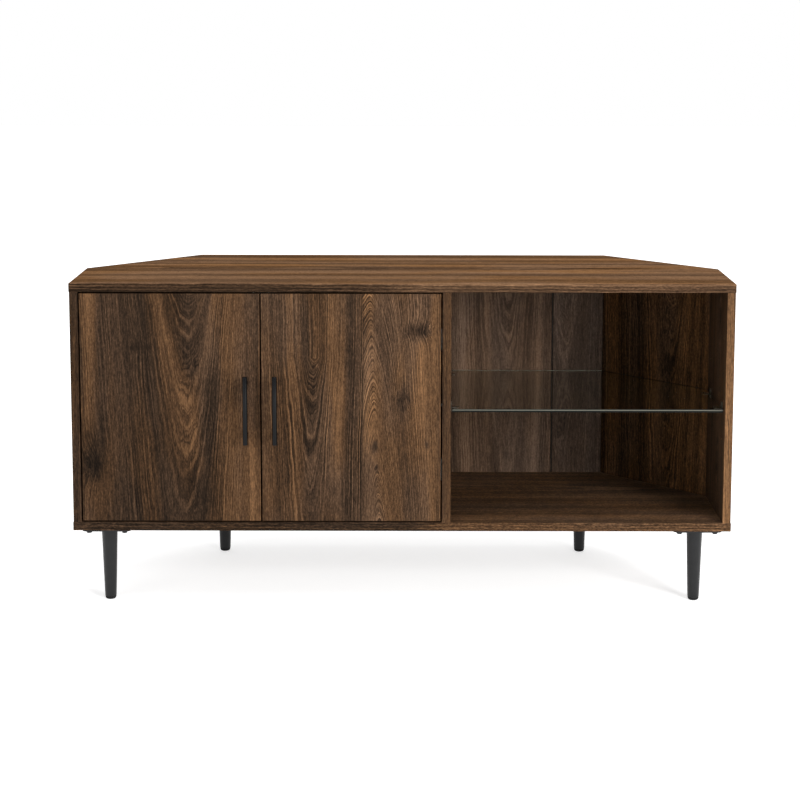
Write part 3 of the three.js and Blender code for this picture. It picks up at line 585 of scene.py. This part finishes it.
def glassMaterial(name):
    material, tree, shader, place = newMaterial(name, Metallic=0.0, IOR=glass["index"])
    shader.inputs["Transmission Weight"].default_value = 1.0
    haze = useGroup(tree, speckleGroup, {"Vector": place, "Scale": glass["hazeScale"],
                                         "Spread": glass["haze"], "Middle": glass["haze"]})
    pale = tuple(min(1.0, c * glass["paler"]) for c in glass["colour"])
    tint = ramp(tree, noiseAt(tree, place, *glass["tint"]), [(0.3, glass["colour"]), (0.7, pale)])
    tree.links.new(tint, shader.inputs["Base Color"])
    tree.links.new(haze["Value"], shader.inputs["Roughness"])
    return material


glassEdges = {    # the painted pale line of light on each edge: colour, width
    "glass_edge": ((0.175, 0.172, 0.140), 0.0008),
    "glass_rear_edge": ((0.84, 0.90, 0.70), 0.0014),
    "glass_side_edge": ((0.006, 0.009, 0.007), 0.0008),
}
paintedGlassEdge = dict(dark=(0.002, 0.003, 0.002), gloss=0.1, above=0.0011, stretch=8, scale=260.0,
                  level=0.8, unevenness=0.5, roughness=0.28, roughnessSwing=0.1)


def glassEdgeMaterial(name, pale, width):    # a ground edge painted dark as shade, with a painted pale line of light just above its middle
    material, tree, shader, place = newMaterial(name, Metallic=0.0, IOR=glass["index"])
    shader.inputs["Transmission Weight"].default_value = 0.0
    shader.inputs["Specular IOR Level"].default_value = paintedGlassEdge["gloss"]
    away = minus(tree, parts(tree, place)[2], middle("glass_shelf").z + paintedGlassEdge["above"])
    grain = noiseAt(tree, stretched(tree, place, 1, 1, paintedGlassEdge["stretch"]), paintedGlassEdge["scale"])
    line = times(tree, bell(tree, over(tree, away, width)),
                 total(tree, paintedGlassEdge["level"], swing(tree, grain, paintedGlassEdge["unevenness"])))
    tree.links.new(ramp(tree, line, [(0.0, paintedGlassEdge["dark"]), (1.0, pale)]), shader.inputs["Base Color"])
    roughness = total(tree, paintedGlassEdge["roughness"], swing(tree, grain, paintedGlassEdge["roughnessSwing"]))
    tree.links.new(roughness, shader.inputs["Roughness"])
    return material


finish = {name: finishMaterial(name, **look) for name, look in finishes.items()}
finish["clear_glass"] = glassMaterial("clear_glass")
for name, (pale, width) in glassEdges.items():
    finish[name] = glassEdgeMaterial(name, pale, width)
print("other finishes:", len(finish))


# pieces: a new mesh takes the place of a plain node

meshWork = dict(sharp=38.0, sharpGlass=5.0, bevelled=50, flat=1, merge=2e-6)    # degrees, merge in metres


def placePiece(node, bm, finishNames, body="cabinet", sharp=meshWork["sharp"], weighted=False):
    name = node + "_shape"
    mesh = bpy.data.meshes.new(name)
    bm.to_mesh(mesh)
    bm.free()
    mesh.polygons.foreach_set("use_smooth", [True] * len(mesh.polygons))
    mesh.set_sharp_from_angle(angle=math.radians(sharp))
    for finishName in finishNames:
        mesh.materials.append(finish[finishName])
    piece = bpy.data.objects.new(name, mesh)
    bpy.context.scene.collection.objects.link(piece)
    if weighted:
        even = piece.modifiers.new("even_normals", "WEIGHTED_NORMAL")
        even.keep_sharp = True
    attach(piece, body)
    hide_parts(node)


def edgesOf(verts):
    return list(dict.fromkeys(e for v in verts for e in v.link_edges))


def facesOf(verts):
    return list(dict.fromkeys(f for v in verts for f in v.link_faces))


def spun(bm, profile, centre, steps, axis="Z"):    # profile: radius and height of each point
    turn = {"Z": Matrix.Identity(4), "Y": Matrix.Rotation(math.radians(90), 4, "X")}[axis]
    before = set(bm.verts)
    points = [bm.verts.new((radius, 0, height)) for radius, height in profile]
    edges = [bm.edges.new(pair) for pair in zip(points, points[1:])]
    bmesh.ops.spin(bm, geom=points + edges, cent=(0, 0, 0), axis=(0, 0, 1), dvec=(0, 0, 0),
                   angle=math.tau, steps=steps, use_merge=True)
    made = [v for v in bm.verts if v not in before]
    bmesh.ops.remove_doubles(bm, verts=made, dist=1e-6)
    made = [v for v in bm.verts if v not in before]
    bmesh.ops.recalc_face_normals(bm, faces=facesOf(made))
    bmesh.ops.transform(bm, matrix=Matrix.Translation(centre) @ turn, verts=made)


def bevelEdges(bm, edges, offset, segments):
    bmesh.ops.bevel(bm, geom=edges, offset=offset, segments=segments, profile=0.5, affect="EDGES",
                    material=-1, clamp_overlap=True)


def sharpEdges(bm, degrees):
    return [e for e in bm.edges if len(e.link_faces) == 2 and e.calc_face_angle(0) > math.radians(degrees)]


def mergedCopy(node):    # the node's loose triangles, joined into flat faces
    bm = bmesh.new()
    bm.from_mesh(nodes[node].data)
    bmesh.ops.remove_doubles(bm, verts=bm.verts, dist=meshWork["merge"])
    bmesh.ops.dissolve_limit(bm, angle_limit=math.radians(meshWork["flat"]), verts=bm.verts, edges=bm.edges)
    return bm


def refined(node, finishName, bevel, segments=2, body="cabinet", extra=None):
    bm = mergedCopy(node)
    bevelEdges(bm, sharpEdges(bm, meshWork["bevelled"]), bevel, segments)
    if extra:
        extra(bm)
    placePiece(node, bm, [finishName], body, weighted=True)


legShape = dict(    # out and up: footEase from the foot's rim, fillet from the top's, washer from its centre
    sides=72, topRadius=0.015, footRadius=0.0108, footEase=[(-0.0008, 0), (-0.0002, 0.0003), (0, 0.0009)],
    fillet=[(0, -0.0032), (0.0004, -0.0020), (0.0011, -0.0009), (0.0024, -0.0001), (0.0024, 0.0010)],
    bore=0.0042, boreDepth=0.0122, boreMouth=0.0002, plate=0.003, plateCorner=0.009, cornerSteps=6,
    boltX=0.033, boltY=0.031, washerSides=32,
    washer=[(0, 0.0002), (0.007, 0.0002), (0.007, -0.0008), (0.0067, -0.0012), (0, -0.0012)],
    hexRadius=0.0052, hexHeight=0.0036, hexDrop=0.0030, hexEase=0.0005,
    hexTurn=(0.4, 9, 20))    # radians, then radians for each metre of x and of y


def addBolt(bm, spot, x, y):    # a washer and a hexagon head under the plate, each head turned its own way
    spun(bm, legShape["washer"], spot, legShape["washerSides"])
    first, byX, byY = legShape["hexTurn"]
    place = Matrix.Translation(spot - Vector((0, 0, legShape["hexDrop"])))
    head = bmesh.ops.create_cone(bm, cap_ends=True, segments=6, radius1=legShape["hexRadius"],
                                 radius2=legShape["hexRadius"], depth=legShape["hexHeight"],
                                 matrix=place @ Matrix.Rotation(first + x * byX + y * byY, 4, "Z"))
    rims = [e for e in edgesOf(head["verts"]) if abs(e.verts[0].co.z - e.verts[1].co.z) < 1e-5]
    bevelEdges(bm, rims, legShape["hexEase"], 2)


def addLeg(label):
    low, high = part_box(f"{label}_leg")
    plate, foot, bore = legShape["plate"], low.z, legShape["bore"]
    centre = Vector(((low.x + high.x) / 2, (low.y + high.y) / 2, 0))
    under = high.z - plate
    bm = bmesh.new()
    wall = [(0, foot + legShape["boreDepth"]), (bore, foot + legShape["boreDepth"]),
            (bore, foot + legShape["boreMouth"])]
    wall += [(legShape["footRadius"] + out, foot + up) for out, up in legShape["footEase"]]
    wall += [(legShape["topRadius"] + out, under + up) for out, up in legShape["fillet"]]
    wall.append((0, wall[-1][1]))
    spun(bm, wall, centre, legShape["sides"])
    size = Matrix.Diagonal((high.x - low.x, high.y - low.y, plate, 1))
    place = Matrix.Translation(centre + Vector((0, 0, high.z - plate / 2)))
    made = bmesh.ops.create_cube(bm, size=1, matrix=place @ size)
    upright = [e for e in edgesOf(made["verts"]) if abs(e.verts[0].co.z - e.verts[1].co.z) > 0.001]
    bevelEdges(bm, upright, legShape["plateCorner"], legShape["cornerSteps"])
    for x in (-legShape["boltX"], legShape["boltX"]):
        for y in (-legShape["boltY"], legShape["boltY"]):
            addBolt(bm, centre + Vector((x, y, under)), x, y)
    placePiece(f"{label}_leg", bm, ["black_powder_coat"])


glideShape = dict(sides=72, rim=0.0044, rimSteps=8, ease=0.0003, stem=0.004, stemLength=0.0120)


def addGlide(label):
    low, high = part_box(f"{label}_glide")
    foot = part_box(f"{label}_leg")[0].z
    centre = Vector(((low.x + high.x) / 2, (low.y + high.y) / 2, 0))
    radius = (high.x - low.x) / 2
    rim, steps, ease = glideShape["rim"], glideShape["rimSteps"], glideShape["ease"]
    stem, top = glideShape["stem"], foot + glideShape["stemLength"]
    turns = [math.pi / 2 * i / steps for i in range(steps + 1)]
    sole = [(0, 0)] + [(radius - rim * (1 - math.sin(t)), rim * (1 - math.cos(t))) for t in turns]
    sole += [(radius, foot - ease), (radius - ease, foot), (stem, foot), (stem, top), (0, top)]
    bm = bmesh.new()
    spun(bm, sole, centre, glideShape["sides"])
    placePiece(f"{label}_glide", bm, ["black_plastic"])


for label in ("front_left", "front_right", "rear_left", "rear_right"):
    addLeg(label)
    addGlide(label)
print("legs and glides")


handleShape = dict(    # round end: shares of the ease inwards and along; joins: shares of the bar's radius
    sides=64, ease=0.0008, roundEnd=[(1, 0), (0.4, 0.18), (0.1, 0.5), (0, 1)],
    postSides=40, postRadius=0.004, postSpacing=0.096, collar=0.0003, joins=(0.9, 0.8, 0.5),
    screwEase=0.0003)


def addHandle(label):
    low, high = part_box(f"{label}_handle")
    radius, half = (high.x - low.x) / 2, (high.z - low.z) / 2
    centre = Vector(((low.x + high.x) / 2, low.y + radius, (low.z + high.z) / 2))
    ease = handleShape["ease"]
    bm = bmesh.new()
    rim = [(radius - ease * inward, ease * along) for inward, along in handleShape["roundEnd"]]
    profile = [(0, -half)] + [(r, h - half) for r, h in rim] + [(r, half - h) for r, h in reversed(rim)]
    spun(bm, profile + [(0, half)], centre, handleShape["sides"])
    length = high.y - centre.y
    post = handleShape["postRadius"]
    wide = post + handleShape["collar"]
    neck, lip, root = (length - radius * share for share in handleShape["joins"])
    stem = [(0, 0), (post, 0), (post, neck), (wide, lip), (wide, root), (0, root)]
    for side in (-1, 1):
        spot = Vector((centre.x, high.y, centre.z + side * handleShape["postSpacing"] / 2))
        spun(bm, stem, spot, handleShape["postSides"], "Y")
    placePiece(f"{label}_handle", bm, ["black_handle_finish"], f"{label}_door")
    for level in ("lower", "upper"):
        refined(f"{label}_handle_screw_{level}", "zinc_plate", handleShape["screwEase"],
                body=f"{label}_door")


for label in ("left", "right"):
    addHandle(label)
print("handles")


screwShape = dict(    # shares of the head's radius and height; rim: reach and drop of each ring down the side
    sides=32, crown=0.80, arm=0.55, slim=0.13, deep=0.6, rim=((0.94, 0.14), (1.0, 0.42), (1.0, 1.0)))


def crossScrew(bm, spot, facing, radius, height):    # a pan head with a cross recess; facing: a unit vector
    arm, slim, deep = radius * screwShape["arm"], radius * screwShape["slim"], height * screwShape["deep"]
    outline = [(slim, arm), (slim, slim), (arm, slim), (arm, -slim), (slim, -slim), (slim, -arm),
               (-slim, -arm), (-slim, -slim), (-arm, -slim), (-arm, slim), (-slim, slim), (-slim, arm)]
    before = set(bm.verts)
    ring = bmesh.ops.create_circle(bm, cap_ends=False, segments=screwShape["sides"],
                                   radius=radius * screwShape["crown"],
                                   matrix=Matrix.Translation((0, 0, height)))["verts"]
    cross = [bm.verts.new((x, y, height)) for x, y in outline]
    crossEdges = [bm.edges.new(pair) for pair in zip(cross, cross[1:] + cross[:1])]
    rim = edgesOf(ring)
    bmesh.ops.triangle_fill(bm, use_beauty=True, use_dissolve=False, edges=rim + crossEdges)
    sunk = bmesh.ops.extrude_edge_only(bm, edges=crossEdges)["geom"]
    lowVerts = [v for v in sunk if isinstance(v, bmesh.types.BMVert)]
    bmesh.ops.translate(bm, verts=lowVerts, vec=(0, 0, -deep))
    bmesh.ops.contextual_create(bm, geom=[e for e in sunk if isinstance(e, bmesh.types.BMEdge)])
    for reach, drop in screwShape["rim"]:
        pushed = bmesh.ops.extrude_edge_only(bm, edges=rim)["geom"]
        for v in [v for v in pushed if isinstance(v, bmesh.types.BMVert)]:
            flat = Vector((v.co.x, v.co.y)).normalized() * radius * reach
            v.co = (flat.x, flat.y, height * (1 - drop))
        rim = [e for e in pushed if isinstance(e, bmesh.types.BMEdge)]
    bmesh.ops.contextual_create(bm, geom=rim)
    made = [v for v in bm.verts if v not in before]
    bmesh.ops.recalc_face_normals(bm, faces=facesOf(made))
    turn = Vector(facing).to_track_quat("Z", "Y").to_matrix().to_4x4()
    bmesh.ops.transform(bm, matrix=Matrix.Translation(spot) @ turn, verts=made)


hingeShape = dict(cupEar=0.0285, earSink=0.0001, cupScrewSpacing=0.045, wing=0.0024, wingFront=0.007,
                  plateScrewSpacing=0.032, screwHead=0.0036, screwHeight=0.0014,
                  cupEase=0.00025, pinEase=0.0002, armEase=0.00025, plateEase=0.0003)


def addHinge(label, level, side):    # side: 1 where the hinge reaches towards +X from its panel
    stem, door = f"{label}_{level}_hinge", f"{label}_door"
    head = (hingeShape["screwHead"], hingeShape["screwHeight"])

    def screwPair(bm, x, y, z, spacing, facing):
        for way in (-1, 1):
            crossScrew(bm, Vector((x, y, z + way * spacing / 2)), facing, *head)

    def panelFace(node):    # the node's side towards its panel
        low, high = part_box(node)
        return low.x if side > 0 else high.x

    def cupScrews(bm):
        cup = f"{stem}_cup"
        x = panelFace(cup) + side * hingeShape["cupEar"]
        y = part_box(cup)[1].y - hingeShape["earSink"]
        screwPair(bm, x, y, middle(cup).z, hingeShape["cupScrewSpacing"], (0, 1, 0))

    def plateScrews(bm):
        plate = f"{stem}_plate"
        x = panelFace(plate) + side * hingeShape["wing"]
        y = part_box(plate)[0].y + hingeShape["wingFront"]
        screwPair(bm, x, y, middle(plate).z, hingeShape["plateScrewSpacing"], (side, 0, 0))

    refined(f"{stem}_cup", "nickel_plate", hingeShape["cupEase"], body=door, extra=cupScrews)
    refined(f"{stem}_pin", "zinc_plate", hingeShape["pinEase"], body=door)
    refined(f"{stem}_arm", "satin_nickel_dark_as_shade", hingeShape["armEase"])
    refined(f"{stem}_plate", "satin_nickel_dark_as_shade", hingeShape["plateEase"], extra=plateScrews)


for label, side in (("left", 1), ("right", -1)):
    for level in ("lower", "upper"):
        addHinge(label, level, side)
print("hinges")


def addGlassShelf():
    bm = mergedCopy("glass_shelf")
    for face in bm.faces:
        flat, ahead, behind = abs(face.normal.z) > 0.95, face.normal.y < -0.9, face.normal.y > 0.9
        face.material_index = 0 if flat else 1 if ahead else 2 if behind else 3
    placePiece("glass_shelf", bm, ["clear_glass", *glassEdges], sharp=meshWork["sharpGlass"])


smallParts = dict(supportEase=0.0004, pegEase=0.0003, stopEase=0.0012, padEase=0.0006, segments=3)

addGlassShelf()
for number in (1, 2, 3, 4):
    refined(f"glass_support_{number}", "clear_plastic", smallParts["supportEase"])
    refined(f"inner_shelf_peg_{number}", "satin_nickel_dark_as_shade", smallParts["pegEase"])
refined("door_stop", "black_plastic", smallParts["stopEase"], smallParts["segments"])
for label in ("left", "right"):
    refined(f"{label}_stop_pad", "clear_plastic", smallParts["padEase"],
            smallParts["segments"])
print("glass shelf, supports and stops")


# floor, light and camera

studio = dict(
    floorSize=14, floorDrop=0.0002, floorRoughness=0.9, unevenness=3.0,
    floorShades=[(0.3, (0.90, 0.90, 0.90)), (0.7, (0.93, 0.93, 0.93))],
    glowNear=0.6, glowMore=0.4, glowRange=(0.9, 2.6), fillLight=0.42)
lamps = {
    "key": dict(place=(2.6, -3.3, 1.5), target=(0.1, 0, 0.4), power=145, width=1.5, height=1.5),
    "overhead": dict(place=(0.2, -0.6, 3.2), target=(0, 0, 0.6), power=75, width=3.0, height=2.0),
    "left_fill": dict(place=(-3.0, -3.0, 1.4), target=(0, 0, 0.4), power=22, width=1.8, height=1.8),
}
view = dict(place=(0.00467, -3.49749, 1.10279), focal=1834.41, pitch=0.1244, yaw=-0.0027, roll=0.0013,
            middleRow=240.0, size=800.0, sensor=36.0)    # focal, middleRow and size in the photo's pixels


def seenPlainly(tree):    # 1 for what the camera sees, directly or in metal and glass
    path = tree.nodes.new("ShaderNodeLightPath").outputs
    return calc(tree, "MINIMUM", total(tree, path["Is Camera Ray"], path["Is Glossy Ray"],
                                       path["Is Transmission Ray"]), 1.0)


def addFloor():
    bm = bmesh.new()
    bmesh.ops.create_grid(bm, x_segments=4, y_segments=4, size=studio["floorSize"])
    mesh = bpy.data.meshes.new("floor")
    bm.to_mesh(mesh)
    bm.free()
    floor = bpy.data.objects.new("floor", mesh)
    floor.location = (0, 0, -studio["floorDrop"])
    bpy.context.scene.collection.objects.link(floor)
    material, tree, shader, place = newMaterial("white_floor", Roughness=studio["floorRoughness"])
    shade = ramp(tree, noiseAt(tree, place, studio["unevenness"]), studio["floorShades"])
    tree.links.new(shade, shader.inputs["Base Color"])
    shader.inputs["Emission Color"].default_value = (1, 1, 1, 1)
    far = step(tree, vectorCalc(tree, "LENGTH", place)["Value"], *studio["glowRange"])
    glow = total(tree, studio["glowNear"], times(tree, far, studio["glowMore"]))
    tree.links.new(times(tree, seenPlainly(tree), glow), shader.inputs["Emission Strength"])
    mesh.materials.append(material)


def addWorld():
    world = bpy.data.worlds.new("studio")
    world.use_nodes = True
    tree = world.node_tree
    tree.nodes.clear()
    strength = mixed(tree, seenPlainly(tree), studio["fillLight"], 1.0)
    back = addNode(tree, "ShaderNodeBackground", {"Color": (1, 1, 1, 1), "Strength": strength})
    tree.links.new(back.outputs[0], tree.nodes.new("ShaderNodeOutputWorld").inputs["Surface"])
    bpy.context.scene.world = world


def addLamp(name, place, target, power, width, height):
    lamp = bpy.data.lights.new(name, "AREA")
    lamp.shape = "RECTANGLE"
    lamp.size, lamp.size_y, lamp.energy = width, height, power
    holder = bpy.data.objects.new(name, lamp)
    holder.location = place
    holder.rotation_euler = (Vector(target) - Vector(place)).to_track_quat("-Z", "Y").to_euler()
    bpy.context.scene.collection.objects.link(holder)


def addCamera():
    data = bpy.data.cameras.new("photo_camera")
    data.sensor_width = view["sensor"]
    data.lens = view["focal"] / view["size"] * view["sensor"]
    data.shift_y = -(view["size"] / 2 - view["middleRow"]) / view["size"]
    data.dof.use_dof = False
    camera = bpy.data.objects.new("photo_camera", data)
    turn = (Matrix.Rotation(-view["yaw"], 4, "Z") @ Matrix.Rotation(math.pi / 2 - view["pitch"], 4, "X")
            @ Matrix.Rotation(view["roll"], 4, "Z"))
    camera.matrix_world = Matrix.Translation(view["place"]) @ turn
    bpy.context.scene.collection.objects.link(camera)
    bpy.context.scene.camera = camera


addFloor()
addWorld()
for name, lamp in lamps.items():
    addLamp(name, **lamp)
addCamera()
bpy.context.scene.view_settings.view_transform = "Standard"
